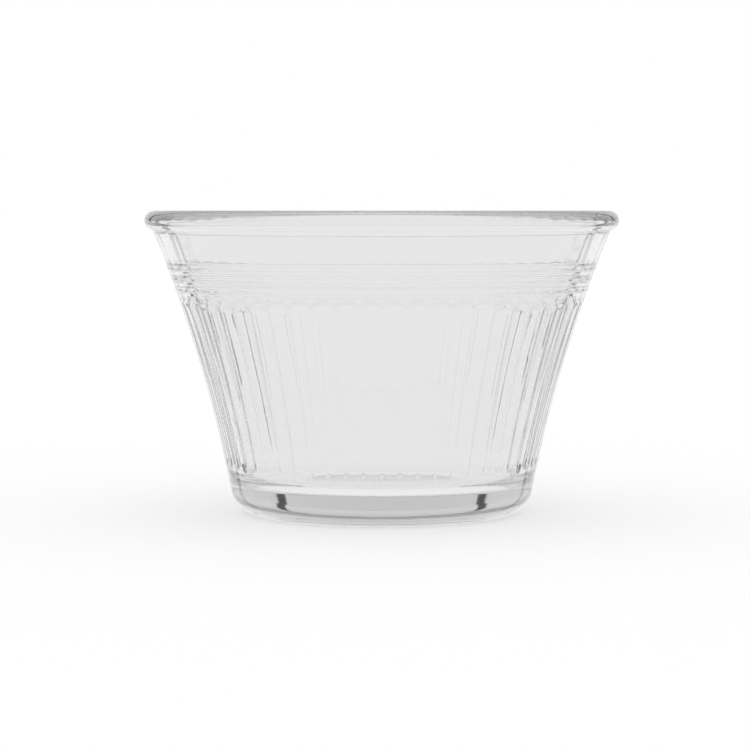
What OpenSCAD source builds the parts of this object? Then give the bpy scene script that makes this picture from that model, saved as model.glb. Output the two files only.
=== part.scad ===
// Flan ramekin: one clear pressed-glass cup, round, with a reeded belt
// Millimetres, +Z up, origin at the centre of the face it stands on

/* [Cup] */
// Outside diameter over the rim bead
rim_d = 90; // [75:1:120]
// Overall height
cup_h = 57.6; // [48:0.1:75]
// Outside diameter of the wall where it runs into the bottom corner
base_d = 57.9; // [48:0.1:64]
// Radius of the wall's gentle outward flare, seen from the side
flare_r = 254; // [180:1:400]
// Thickness of the wall, square to its face
wall_t = 2.85; // [2.2:0.05:3.6]
// Thickness of the floor, over the ring that it stands on
floor_t = 6; // [4:0.1:9]

/* [Rim and corners] */
// How far the rim bead stands out from the wall's outer face
bead_proud = 0.9; // [0.4:0.05:1.6]
// Radius of the outside bottom corner
base_corner_r = 5.4; // [3:0.1:7]
// Radius of the corner between the floor and the inside wall
inner_corner_r = 4; // [2:0.5:12]

/* [Underside] */
// Width of the flat ring that the cup stands on
foot_ring_w = 10; // [2:0.5:12]
// Depth of the shallow hollow inside that ring, at its middle
hollow_h = 0.6; // [0.2:0.1:1.5]

/* [Rings] */
// Number of fine raised rings on the plain band
ring_count = 3; // [1:1:4]
// Distance from the top of the rim down to the highest ring
ring_drop = 10.9; // [8:0.1:12]
// Distance from one ring to the next
ring_pitch = 2; // [1.4:0.1:2.4]
// Radius of a ring's rounded section
ring_r = 0.3; // [0.2:0.05:0.65]
// How far a ring stands proud of the wall
ring_relief = 0.16; // [0.05:0.01:0.18]

/* [Reeds] */
// Number of flat reeds round the belt
reed_count = 57; // [24:1:64]
// Distance from the top of the rim down to the arched tops of the reeds
reed_drop = 16.7; // [16:0.1:26]
// Height above the table of the lower ends of the grooves between the reeds
groove_low_z = 9.4; // [8:0.1:16]
// Width of a groove
groove_w = 1; // [0.6:0.05:1.6]
// Depth of a groove
groove_d = 0.15; // [0.1:0.01:0.3]
// Radius of the reeds' rounded shoulders, which are a groove's two sides
shoulder_r = 2; // [1:0.1:3]
// Width of the shallow dish between two arched tops
spandrel_w = 2.8; // [2:0.1:3.4]

/* [Hidden] */

// Facets of the round shapes
round_fn = 180;
arc_fn = 1440;
small_fn = 48;
// Overlap that carries a cut clear of a face
over = 1;

// The bead fills the wall's thickness and stands proud of it on the outside
bead_r = (wall_t + bead_proud) / 2;
bead_c = [rim_d / 2 - bead_r, cup_h - bead_r];

// The wall is one arc in the section plane. It passes through the top of the bottom corner, and the
// inside face, wall_t behind it, runs on smoothly into the bead. The arc's centre is outside the cup.
wall_foot = [base_d / 2, base_corner_r];
bead_dist = flare_r + wall_t - bead_r;
chord = bead_c - wall_foot;
chord_l = norm(chord);
along = (pow(flare_r, 2) - pow(bead_dist, 2) + pow(chord_l, 2)) / (2 * chord_l);
aside = sqrt(pow(flare_r, 2) - pow(along, 2));
flare_c = wall_foot + along * chord / chord_l + aside * [chord.y, -chord.x] / chord_l;
inner_arc_r = flare_r + wall_t;

// Where the inside face meets the bead
crest = flare_c + inner_arc_r * (bead_c - flare_c) / bead_dist;

// Lean of the wall from upright at height z, and the radius of its outer face there
function lean(z) = asin((z - flare_c.y) / flare_r);
function wall_r(z) = flare_c.x - flare_r * cos(lean(z));

// Middle of a corner of radius corner_r that joins a floor at floor_z to an arc of radius arc_r
function corner_c(arc_r, floor_z, corner_r) =
    [flare_c.x - sqrt(pow(arc_r + corner_r, 2) - pow(flare_c.y - floor_z - corner_r, 2)), floor_z + corner_r];

// The hollow underneath is part of a large sphere
hollow_d = 2 * (corner_c(flare_r, 0, base_corner_r).x - foot_ring_w);
hollow_sphere_r = (pow(hollow_d / 2, 2) + pow(hollow_h, 2)) / (2 * hollow_h);

// A groove's side runs from its edge on the wall down to its bottom, as an arc about shoulder_c
side = [groove_d, groove_w / 2];
shoulder_c = side / 2 + sqrt(pow(shoulder_r, 2) - pow(norm(side) / 2, 2)) * [side.y, side.x] / norm(side);

// Heights of the two ends of a groove's straight run: in the dish between the arches, and at its foot
arch_z = cup_h - reed_drop;
groove_top = arch_z - PI * wall_r(arch_z) / reed_count / 2;
groove_low = groove_low_z + groove_w / 2;

// Radius of the ball whose cap is as deep as a groove and w wide
function dish_r(w) = (pow(w / 2, 2) + pow(groove_d, 2)) / (2 * groove_d);
// The balls sit a hair deeper than the groove between them, so that the surfaces cross
end_sink = 0.03;

// Half outline with a flat floor, a rounded corner and a wall that follows an arc about flare_c
module flared_outline(arc_r, floor_z, corner_r, top_z) {
    corner = corner_c(arc_r, floor_z, corner_r);
    touch_z = corner.y + (flare_c.y - corner.y) * corner_r / (arc_r + corner_r);
    translate([0, floor_z]) square([corner.x, top_z - floor_z]);
    translate(corner) circle(corner_r, $fn = round_fn);
    difference() {
        translate([0, touch_z]) square([rim_d, top_z - touch_z]);
        translate(flare_c) circle(arc_r, $fn = arc_fn);
    }
}

// Section of one fine ring, sunk into the wall so that only its relief shows
module ring_section(z) {
    reach = flare_r + ring_r - ring_relief;
    translate(flare_c + reach * [-cos(lean(z)), sin(lean(z))]) circle(ring_r, $fn = small_fn);
}

// Half section of the cup before the grooves are cut
module cup_section() {
    difference() {
        union() {
            flared_outline(flare_r, 0, base_corner_r, bead_c.y);
            translate(bead_c) circle(bead_r, $fn = round_fn);
            polygon([[0, bead_c.y], bead_c, crest]);
            for (i = [0 : ring_count - 1]) ring_section(cup_h - ring_drop - i * ring_pitch);
        }
        flared_outline(inner_arc_r, floor_t, inner_corner_r, cup_h + over);
        translate([0, hollow_h - hollow_sphere_r]) circle(hollow_sphere_r, $fn = arc_fn);
        translate([-rim_d, -over]) square([rim_d, cup_h + 2 * over]);
    }
}

// Section of a groove, with x down into the wall
module groove_section() {
    difference() {
        translate([-over, -groove_w / 2]) square([over + 2 * groove_d, groove_w]);
        for (way = [-1, 1])
            translate([shoulder_c.x, way * shoulder_c.y]) circle(shoulder_r, $fn = round_fn);
    }
}

// Places its children in the section plane, turned to the wall at height z as seen from the flare's middle
module on_wall_arc(z) {
    translate([flare_c.x, 0, flare_c.y])
        rotate([90, 0, 0])
            rotate(180 - lean(z)) children();
}

// The straight run of a groove, bent along the wall's arc
module groove_run() {
    on_wall_arc(groove_top)
        rotate_extrude(angle = lean(groove_top) - lean(groove_low), $fn = arc_fn)
            translate([flare_r, 0]) groove_section();
}

// A ball whose cap makes a dish of width w in the wall at height z
module dish(z, w) {
    on_wall_arc(z)
        translate([flare_r + groove_d + end_sink - dish_r(w), 0, 0]) sphere(dish_r(w), $fn = small_fn);
}

// Turns its children to every groove, with one facing the front
module around_belt() {
    for (i = [0 : reed_count - 1])
        rotate(i * 360 / reed_count - 90) children();
}

module glass_cup() {
    color([0.90, 0.91, 0.91, 0.5])
        difference() {
            difference() {
                rotate_extrude($fn = round_fn) cup_section();
                around_belt() groove_run();
            }
            around_belt() dish(groove_top, spandrel_w);
            around_belt() dish(groove_low, groove_w);
        }
}

glass_cup();
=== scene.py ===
import math

import bpy
import numpy as np
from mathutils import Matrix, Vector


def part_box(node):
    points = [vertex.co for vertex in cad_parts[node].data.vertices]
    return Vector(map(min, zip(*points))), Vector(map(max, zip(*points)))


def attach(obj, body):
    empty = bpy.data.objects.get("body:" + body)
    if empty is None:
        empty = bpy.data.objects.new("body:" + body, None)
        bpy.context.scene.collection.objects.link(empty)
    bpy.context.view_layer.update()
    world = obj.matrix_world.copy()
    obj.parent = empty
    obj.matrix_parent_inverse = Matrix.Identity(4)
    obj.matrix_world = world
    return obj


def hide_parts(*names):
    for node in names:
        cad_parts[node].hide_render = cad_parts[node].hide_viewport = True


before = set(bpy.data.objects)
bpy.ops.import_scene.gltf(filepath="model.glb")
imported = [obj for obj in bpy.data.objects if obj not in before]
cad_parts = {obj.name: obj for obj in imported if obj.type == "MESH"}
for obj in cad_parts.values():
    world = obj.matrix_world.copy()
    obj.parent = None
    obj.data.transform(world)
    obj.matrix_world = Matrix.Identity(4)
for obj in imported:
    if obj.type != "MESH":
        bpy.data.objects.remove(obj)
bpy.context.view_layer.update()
scene = bpy.context.scene
scene.view_settings.view_transform = "Standard"
mm = 0.001
print("frame loaded, nodes:", sorted(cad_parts))


def hexToLinear(hexColour):
    # sRGB hex to linear RGBA
    channels = [int(hexColour[i:i + 2], 16) / 255 for i in (1, 3, 5)]
    linear = [c / 12.92 if c <= 0.04045 else ((c + 0.055) / 1.055) ** 2.4 for c in channels]
    return (*linear, 1.0)


def addNode(tree, kind, settings=None, inputs=None, links=None):
    # one node with its settings, plain input values and incoming links
    node = tree.nodes.new(kind)
    for name, value in (settings or {}).items():
        setattr(node, name, value)
    for name, value in (inputs or {}).items():
        node.inputs[name].default_value = value
    for name, socket in (links or {}).items():
        tree.links.new(socket, node.inputs[name])
    return node


# the cup, in millimetres; its width and height come from the CAD node
lowCorner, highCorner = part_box("glass_cup")
cup = {
    "rimRadius": (highCorner.x - lowCorner.x) / 2 / mm,
    "height": (highCorner.z - lowCorner.z) / mm,
    "baseRadius": 28.95,      # outside of the wall at the top of the bottom corner
    "flareRadius": 254.0,     # the wall's arc, seen from the side
    "wall": 2.85,
    "floor": 6.0,
    "beadProud": 0.9,         # how far the rim bead stands out from the wall
    "lip": 1.2,               # radius of the small hollow under the bead
    "baseCorner": 5.4,
    "innerCorner": 4.0,
    "footRing": 10.0,         # width of the ring it stands on
    "hollowDepth": 0.6,       # of the shallow hollow inside that ring
    "ringDrop": 10.9,         # from the rim's top to the highest fine ring
    "ringPitch": 2.0,
    "ringRadius": 0.3,
    "ringRelief": 0.16,
    "ringCount": 3,
    "reedCount": 57,
    "reedDrop": 16.7,         # from the rim's top to the arched tops of the reeds
    "grooveLow": 9.4,         # height of the grooves' lower ends
    "grooveWidth": 1.0,
    "grooveDepth": 0.15,
    "grooveFoot": 0.8,        # a groove runs out over this much of its height
    "shoulder": 2.0,          # radius of a reed's rounded edge
    "spandrel": 1.0,          # the hollow between two arched tops runs out over this much
    "polish": 0.1,            # fire polish: how far the sharp edges of the section are softened
    "edgeSoft": 0.03,         # the same for the edges of the grooves
    "spacing": 0.02,          # between the section's points, before they are thinned to rows
    "rows": 142,
    # steps from row to row, before all of them are scaled alike to give that number
    "rowStep": 3.2,
    "rowTurn": 15,            # degrees that the section turns
    "rowStepAtEnds": 0.32,    # where the grooves begin and end
    "archZone": (-2.4, 1.0),  # what counts as that, in height from the arched tops
    "footZone": (-0.2, 1.0),  # and from the grooves' lower ends
}

beadRadius = (cup["wall"] + cup["beadProud"]) / 2
beadCentre = np.array([cup["rimRadius"] - beadRadius, cup["height"] - beadRadius])
archTip = cup["height"] - cup["reedDrop"]


def crossing(a, aRadius, b, bRadius):
    # where circles about a and b cross, on the right of the way from a to b
    length = np.hypot(*(b - a))
    ahead = (b - a) / length
    along = (aRadius ** 2 - bRadius ** 2 + length ** 2) / (2 * length)
    aside = math.sqrt(aRadius ** 2 - along ** 2)
    return a + along * ahead + aside * np.array([ahead[1], -ahead[0]])


# middle of the wall's arc, which starts at the top of the bottom corner and runs on inside into the bead
flareC = crossing(np.array([cup["baseRadius"], cup["baseCorner"]]), cup["flareRadius"],
                  beadCentre, cup["flareRadius"] + cup["wall"] - beadRadius)


def lean(z):
    # angle of the wall from upright at height z
    return np.arcsin((z - flareC[1]) / cup["flareRadius"])


def wallRadius(z):
    # from the cup's axis to the outside of the wall at height z
    return flareC[0] - cup["flareRadius"] * np.cos(lean(z))


def cornerCentre(arcRadius, floorZ, radius):
    # middle of a round corner that touches a flat floor and an arc about flareC
    reach = math.sqrt((arcRadius + radius) ** 2 - (flareC[1] - floorZ - radius) ** 2)
    return np.array([flareC[0] - reach, floorZ + radius])


def arc(centre, radius, start, end):
    # points of a circle from angle start to angle end, in radians
    count = max(3, int(abs(end - start) * radius / cup["spacing"]))
    angle = np.linspace(start, end, count)
    return centre + radius * np.stack([np.cos(angle), np.sin(angle)], axis=1)


def line(start, end):
    # points of a straight stretch
    count = max(3, int(np.hypot(*np.subtract(end, start)) / cup["spacing"]))
    return np.linspace(start, end, count)


def bearing(start, end):
    # direction from one point of the section to another, in radians
    return math.atan2(end[1] - start[1], end[0] - start[0])


def cupSection():
    # half section from the middle of the underside, out and up the wall, over the bead and down inside
    fullTurn = 2 * math.pi
    outerArc, innerArc = cup["flareRadius"], cup["flareRadius"] + cup["wall"]
    outerC = cornerCentre(outerArc, 0, cup["baseCorner"])
    innerC = cornerCentre(innerArc, cup["floor"], cup["innerCorner"])
    # the hollow underneath is part of a large sphere
    hollowR = outerC[0] - cup["footRing"]
    sphereR = (hollowR ** 2 + cup["hollowDepth"] ** 2) / (2 * cup["hollowDepth"])
    sphereC = np.array([0, cup["hollowDepth"] - sphereR])
    hollow = arc(sphereC, sphereR, math.pi / 2, math.acos(hollowR / sphereR))
    footRing = line((hollowR, 0), (outerC[0], 0))
    corner = arc(outerC, cup["baseCorner"], -math.pi / 2, bearing(outerC, flareC))
    # the wall runs up to the small hollow that leads into the bead
    lipC = crossing(beadCentre, beadRadius + cup["lip"], flareC, outerArc - cup["lip"])
    wall = arc(flareC, outerArc, bearing(flareC, outerC) % fullTurn, bearing(flareC, lipC))
    lip = arc(lipC, cup["lip"], bearing(flareC, lipC), bearing(lipC, beadCentre))
    bead = arc(beadCentre, beadRadius, bearing(beadCentre, lipC), bearing(flareC, beadCentre))
    inside = arc(flareC, innerArc, bearing(flareC, beadCentre), bearing(flareC, innerC) % fullTurn)
    innerCorner = arc(innerC, cup["innerCorner"], bearing(innerC, flareC), -math.pi / 2)
    floor = line((innerC[0], cup["floor"]), (0, cup["floor"]))
    # each fine ring lifts the wall by the cap of its round section
    for i in range(cup["ringCount"]):
        ringZ = cup["height"] - cup["ringDrop"] - i * cup["ringPitch"]
        offset = (wall[:, 1] - ringZ) / math.cos(lean(ringZ))
        cap = np.sqrt(np.maximum(cup["ringRadius"] ** 2 - offset ** 2, 0))
        lift = np.maximum(cap - cup["ringRadius"] + cup["ringRelief"], 0)
        wall = wall + lift[:, None] * np.array([math.cos(lean(ringZ)), -math.sin(lean(ringZ))])
    stretches = [hollow, footRing, corner, wall, lip, bead, inside, innerCorner, floor]
    onWall = np.concatenate([np.full(len(s), s is wall) for s in stretches])
    return np.concatenate(stretches), onWall


def softened(values, spacing, sigma):
    # Gaussian blur along the section, out to four sigma, mirrored at both ends
    reach = int(4 * sigma / spacing)
    kernel = np.exp(-0.5 * (np.arange(-reach, reach + 1) * spacing / sigma) ** 2)
    padded = np.pad(values, reach, mode="reflect", reflect_type="odd")
    return np.convolve(padded, kernel / kernel.sum(), mode="valid")


def sectionRows():
    # evenly spaced points, softened, then thinned to rows that crowd where the section turns
    points, onWall = cupSection()
    length = np.concatenate([[0], np.cumsum(np.hypot(*np.diff(points, axis=0).T))])
    spacing = cup["spacing"]
    even = np.arange(0, length[-1], spacing)
    r = softened(np.interp(even, length, points[:, 0]), spacing, cup["polish"])
    z = softened(np.interp(even, length, points[:, 1]), spacing, cup["polish"])
    wallShare = np.interp(even, length, onWall.astype(float))
    heading = np.unwrap(np.arctan2(np.gradient(z), np.gradient(r)))
    turning = np.abs(np.gradient(heading))

    def near(height, zone):
        return (z > height + zone[0]) & (z < height + zone[1])

    nearEnd = near(archTip, cup["archZone"]) | near(cup["grooveLow"], cup["footZone"])
    atEnds = spacing / cup["rowStepAtEnds"] * nearEnd * (wallShare > 0.5)
    total = np.cumsum(spacing / cup["rowStep"] + turning / math.radians(cup["rowTurn"]) + atEnds)
    index = np.arange(len(even))
    at = np.interp(np.linspace(total[0], total[-1], cup["rows"]), total, index)
    rowR, rowZ = np.interp(at, index, r), np.interp(at, index, z)
    rowR[0] = rowR[-1] = 0
    return rowR, rowZ, np.interp(at, index, wallShare) > 0.5


def eased(share):
    # from 0 to 1 with level ends: three squares less two cubes of the share
    held = np.clip(share, 0, 1)
    return held ** 2 * (3 - 2 * held)


def reedDent(across, z):
    # depth of the grooves: a reed is flat, and its edge falls along a round shoulder to the groove's bottom;
    # its top is arched, past the arch the hollow runs out, and so does the groove at its foot
    def half(height):
        # half a reed's width
        return math.pi * wallRadius(height) / cup["reedCount"]

    archFoot = archTip - half(archTip) * math.cos(lean(archTip))
    held = np.minimum(z, archFoot)
    beyond = (z - held) / np.cos(lean(held))
    past = np.hypot(across * wallRadius(held), beyond) - half(held)
    side = np.array([cup["grooveDepth"], cup["grooveWidth"] / 2])
    size = np.hypot(*side)
    deep, wide = side / 2 + math.sqrt(cup["shoulder"] ** 2 - size ** 2 / 4) * side[::-1] / size
    fall = deep - np.sqrt(cup["shoulder"] ** 2 - np.clip(wide + past, 0, wide) ** 2)
    fall = (fall + np.sqrt(fall ** 2 + cup["edgeSoft"] ** 2)) / 2
    runOut = 1 - eased(past / cup["spandrel"])
    return fall * runOut * eased((z - cup["grooveLow"]) / cup["grooveFoot"])


def makeCup():
    # x, y, z = the section carried round the axis, dented along the wall's normal by the grooves
    rowR, rowZ, onWall = sectionRows()
    pitch = 2 * math.pi / cup["reedCount"]
    # columns of one reed as shares of its pitch, closer together in the grooves; a groove faces the front
    share = np.array([-0.5, -0.465, -0.43, -0.395, -0.36, -0.31, 0, 0.31, 0.36, 0.395, 0.43, 0.465])
    across = np.tile(share * pitch, cup["reedCount"])
    reed = np.repeat(np.arange(cup["reedCount"]), len(share))
    angle = (reed + 0.5) * pitch + across - math.pi / 2
    ringR, ringZ = rowR[1:-1, None], rowZ[1:-1, None]
    tilt = lean(np.clip(ringZ, 0, cup["height"]))
    dent = reedDent(across[None, :], ringZ) * onWall[1:-1, None]
    r = ringR - dent * np.cos(tilt)
    z = ringZ + dent * np.sin(tilt)
    grid = np.stack([r * np.cos(angle), r * np.sin(angle), np.broadcast_to(z, r.shape)], axis=-1)
    rows, columns = r.shape
    poles = np.array([[0, 0, rowZ[0]], [0, 0, rowZ[-1]]])
    vertices = np.concatenate([grid.reshape(-1, 3), poles]) * mm
    # quads between neighbouring rows, and a fan at each pole
    row, column = np.meshgrid(np.arange(rows - 1), np.arange(columns), indexing="ij")
    after = (column + 1) % columns
    quads = np.stack([row * columns + column, row * columns + after,
                      (row + 1) * columns + after, (row + 1) * columns + column], axis=-1).reshape(-1, 4)
    around = np.arange(columns)
    ahead = (around + 1) % columns
    under = np.stack([np.full(columns, rows * columns), ahead, around], axis=-1)
    lastRow = (rows - 1) * columns
    upper = np.stack([np.full(columns, rows * columns + 1), lastRow + around, lastRow + ahead], axis=-1)
    faces = quads.tolist() + under.tolist() + upper.tolist()
    mesh = bpy.data.meshes.new("glassCup")
    mesh.from_pydata(vertices.tolist(), [], faces)
    mesh.shade_smooth()
    mesh.validate()
    piece = bpy.data.objects.new("glassCup", mesh)
    scene.collection.objects.link(piece)
    print("cup made:", len(vertices), "points,", 2 * len(quads) + 2 * columns, "triangles")
    return piece


# pressed soda-lime glass, fire polished: clear, faintly rippled by the mould, crisp where it was polished
glass = {
    "tint": "#F4F4F4",
    "depthTint": "#DADADA",   # what a thick stretch greys to, as at the base
    "depthDensity": 24.0,     # per metre
    "ior": 1.52,
    "rippleSize": 7.0,        # mm from one slow mould ripple to the next
    "rippleHeight": 0.012,    # mm
    "hazeSize": 3.0,          # mm, patches of slightly less polish
    "hazeRange": (0.35, 0.75),  # the noise's values at the best and the least polish
    "roughness": (0.0, 0.02),   # at the best and the least polish
}


def pressedGlass():
    material = bpy.data.materials.new("pressedSodaLimeGlass")
    material.use_nodes = True
    tree = material.node_tree
    tree.nodes.clear()
    place = addNode(tree, "ShaderNodeTexCoord")
    ripple = addNode(tree, "ShaderNodeTexNoise",
                     inputs={"Scale": 1 / (glass["rippleSize"] * mm), "Detail": 1.0, "Roughness": 0.4},
                     links={"Vector": place.outputs["Object"]})
    bump = addNode(tree, "ShaderNodeBump",
                   inputs={"Strength": 1.0, "Distance": glass["rippleHeight"] * mm},
                   links={"Height": ripple.outputs["Fac"]})
    haze = addNode(tree, "ShaderNodeTexNoise",
                   inputs={"Scale": 1 / (glass["hazeSize"] * mm), "Detail": 3.0, "Roughness": 0.6},
                   links={"Vector": place.outputs["Object"]})
    best, least = glass["hazeRange"]
    smoothest, roughest = glass["roughness"]
    polish = addNode(tree, "ShaderNodeMapRange",
                     inputs={"From Min": best, "From Max": least, "To Min": smoothest, "To Max": roughest},
                     links={"Value": haze.outputs["Fac"]})
    shader = addNode(tree, "ShaderNodeBsdfPrincipled",
                     inputs={"Base Color": hexToLinear(glass["tint"]), "IOR": glass["ior"],
                             "Transmission Weight": 1.0, "Metallic": 0.0},
                     links={"Roughness": polish.outputs["Result"], "Normal": bump.outputs["Normal"]})
    depth = addNode(tree, "ShaderNodeVolumeAbsorption",
                    inputs={"Color": hexToLinear(glass["depthTint"]), "Density": glass["depthDensity"]})
    addNode(tree, "ShaderNodeOutputMaterial",
            links={"Surface": shader.outputs["BSDF"], "Volume": depth.outputs["Volume"]})
    print("material made:", material.name)
    return material


glassCup = makeCup()
glassCup.data.materials.append(pressedGlass())
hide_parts("glass_cup")
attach(glassCup, "root")

# the sweep that it stands on: matte white paper, pale and even, with no sheen
sweep = {
    "size": 40.0,             # metres
    "colour": "#BCBCBC",
    "lift": 0.5,              # what the paper lacks to be white, added for the camera alone
}


def makeSweep():
    # a flat square at the height of the table
    half = sweep["size"] / 2
    corners = [(-half, -half, 0), (half, -half, 0), (half, half, 0), (-half, half, 0)]
    mesh = bpy.data.meshes.new("sweep")
    mesh.from_pydata(corners, [], [(0, 1, 2, 3)])
    floor = bpy.data.objects.new("sweep", mesh)
    scene.collection.objects.link(floor)
    material = bpy.data.materials.new("matteWhitePaper")
    material.use_nodes = True
    tree = material.node_tree
    tree.nodes.clear()
    path = addNode(tree, "ShaderNodeLightPath")
    paper = addNode(tree, "ShaderNodeBsdfDiffuse", inputs={"Color": hexToLinear(sweep["colour"])})
    amount = addNode(tree, "ShaderNodeMath", {"operation": "MULTIPLY"}, inputs={1: sweep["lift"]},
                     links={0: path.outputs["Is Camera Ray"]})
    glow = addNode(tree, "ShaderNodeEmission", inputs={"Color": (1, 1, 1, 1)},
                   links={"Strength": amount.outputs["Value"]})
    both = addNode(tree, "ShaderNodeAddShader", links={0: paper.outputs["BSDF"], 1: glow.outputs["Emission"]})
    # the glass shows the tent in its place
    clear = addNode(tree, "ShaderNodeMath", {"operation": "MAXIMUM"},
                    links={0: path.outputs["Is Glossy Ray"], 1: path.outputs["Is Transmission Ray"]})
    tent = addNode(tree, "ShaderNodeBsdfTransparent")
    seen = addNode(tree, "ShaderNodeMixShader",
                   links={0: clear.outputs["Value"], 1: both.outputs["Shader"], 2: tent.outputs["BSDF"]})
    addNode(tree, "ShaderNodeOutputMaterial", links={"Surface": seen.outputs["Shader"]})
    mesh.materials.append(material)
    print("sweep made")


makeSweep()

# a white tent all round; upright gaps in it, left and right behind the cup, give the glass its dark lines
studio = {
    # brightness by degrees from straight behind, above and below the level
    "over": [(0, 1.0), (27.4, 1.0), (28.2, 0.03), (31.2, 0.03), (32.0, 1.0)],
    "under": [(0, 1.0), (38.5, 1.0), (40.5, 0.05), (43.5, 0.05), (45.5, 1.0)],
    "gapEnd": (28.0, 40.0),   # degrees up or down between which the gaps fade out
    "roof": (0.0, 6.0),       # degrees up between which the dimmer upper half starts
    "roofLevel": 0.89,
    "lightTurns": 40,         # clear glass needs many turns of the light inside it
}


def makeStudio():
    world = bpy.data.worlds.new("studio")
    scene.world = world
    world.use_nodes = True
    tree = world.node_tree
    tree.nodes.clear()
    path = addNode(tree, "ShaderNodeLightPath")
    place = addNode(tree, "ShaderNodeTexCoord")
    # height of a direction, and its turn from straight behind as a share of half a turn
    parts = addNode(tree, "ShaderNodeSeparateXYZ", links={"Vector": place.outputs["Generated"]})
    height = addNode(tree, "ShaderNodeMath", {"operation": "ARCSINE"}, links={0: parts.outputs["Z"]})
    turn = addNode(tree, "ShaderNodeMath", {"operation": "ARCTAN2"},
                   links={0: parts.outputs["X"], 1: parts.outputs["Y"]})
    around = addNode(tree, "ShaderNodeMath", {"operation": "ABSOLUTE"}, links={0: turn.outputs["Value"]})
    share = addNode(tree, "ShaderNodeMath", {"operation": "DIVIDE"}, inputs={1: math.pi},
                    links={0: around.outputs["Value"]})
    halfTurn = 180

    def ramp(levels):
        band = addNode(tree, "ShaderNodeValToRGB", links={"Fac": share.outputs["Value"]})
        stops = band.color_ramp.elements
        while len(stops) < len(levels):
            stops.new(0.5)
        for stop, (at, level) in zip(stops, levels):
            stop.position = at / halfTurn
            stop.color = (level, level, level, 1)
        return band

    # on a Mix node of colours, inputs 6 and 7 and output 2 are the colours
    over = ramp(studio["over"])
    under = ramp(studio["under"])
    upward = addNode(tree, "ShaderNodeMath", {"operation": "GREATER_THAN"}, inputs={1: 0.0},
                     links={0: height.outputs["Value"]})
    wall = addNode(tree, "ShaderNodeMix", {"data_type": "RGBA"},
                   links={0: upward.outputs["Value"], 6: under.outputs["Color"], 7: over.outputs["Color"]})
    # the gaps fade out upwards and downwards
    fadeStart, fadeEnd = (math.radians(a) for a in studio["gapEnd"])
    level = addNode(tree, "ShaderNodeMath", {"operation": "ABSOLUTE"}, links={0: height.outputs["Value"]})
    fade = addNode(tree, "ShaderNodeMapRange", {"interpolation_type": "SMOOTHSTEP"},
                   inputs={"From Min": fadeStart, "From Max": fadeEnd},
                   links={"Value": level.outputs["Value"]})
    sides = addNode(tree, "ShaderNodeMix", {"data_type": "RGBA"}, inputs={7: (1, 1, 1, 1)},
                    links={0: fade.outputs["Result"], 6: wall.outputs[2]})
    # the upper half is a little dimmer
    eaves, ridge = (math.radians(a) for a in studio["roof"])
    roof = addNode(tree, "ShaderNodeMapRange", {"interpolation_type": "SMOOTHSTEP"},
                   inputs={"From Min": eaves, "From Max": ridge,
                           "To Min": 1.0, "To Max": studio["roofLevel"]},
                   links={"Value": height.outputs["Value"]})
    tent = addNode(tree, "ShaderNodeMix", {"data_type": "RGBA", "blend_type": "MULTIPLY"}, inputs={0: 1.0},
                   links={6: sides.outputs[2], 7: roof.outputs["Result"]})
    # only the glass shows the tent; light that reaches the paper through the glass counts as plain light
    clear = addNode(tree, "ShaderNodeMath", {"operation": "MAXIMUM"},
                    links={0: path.outputs["Is Glossy Ray"], 1: path.outputs["Is Transmission Ray"]})
    direct = addNode(tree, "ShaderNodeMath", {"operation": "LESS_THAN"}, inputs={1: 0.5},
                     links={0: path.outputs["Diffuse Depth"]})
    seen = addNode(tree, "ShaderNodeMath", {"operation": "MULTIPLY"},
                   links={0: clear.outputs["Value"], 1: direct.outputs["Value"]})
    plain = addNode(tree, "ShaderNodeBackground", inputs={"Color": (1, 1, 1, 1), "Strength": 1.0})
    inGlass = addNode(tree, "ShaderNodeBackground", inputs={"Strength": 1.0},
                      links={"Color": tent.outputs[2]})
    mixed = addNode(tree, "ShaderNodeMixShader",
                    links={0: seen.outputs["Value"], 1: plain.outputs["Background"],
                           2: inGlass.outputs["Background"]})
    addNode(tree, "ShaderNodeOutputWorld", links={"Surface": mixed.outputs["Shader"]})
    scene.cycles.max_bounces = studio["lightTurns"]
    scene.cycles.glossy_bounces = studio["lightTurns"]
    scene.cycles.transmission_bounces = studio["lightTurns"]
    print("studio made")


makeStudio()

# the photograph's view: eye level with the rim, cup a little right of the middle
view = {
    "distance": 490.0,        # mm from the cup's axis
    "eyeHeight": 58.0,        # mm above the table
    "focal": 123.42,          # mm
    "sensor": 36.0,           # mm
    "frameSize": 750,         # pixels, as are the next two
    "horizonRow": 208.35,
    "axisColumn": 381.65,
}


def makeCamera():
    camera = bpy.data.cameras.new("camera")
    camera.sensor_width = view["sensor"]
    camera.lens = view["focal"]
    perPixel = camera.sensor_width / view["focal"] / view["frameSize"]
    middle = view["frameSize"] / 2
    pitch = math.atan((middle - view["horizonRow"]) * perPixel)
    turn = math.atan((view["axisColumn"] - middle) * perPixel)
    holder = bpy.data.objects.new("camera", camera)
    holder.location = (0, -view["distance"] * mm, view["eyeHeight"] * mm)
    holder.rotation_euler = (math.pi / 2 - pitch, 0, turn)
    scene.collection.objects.link(holder)
    scene.camera = holder
    print("camera made")


makeCamera()
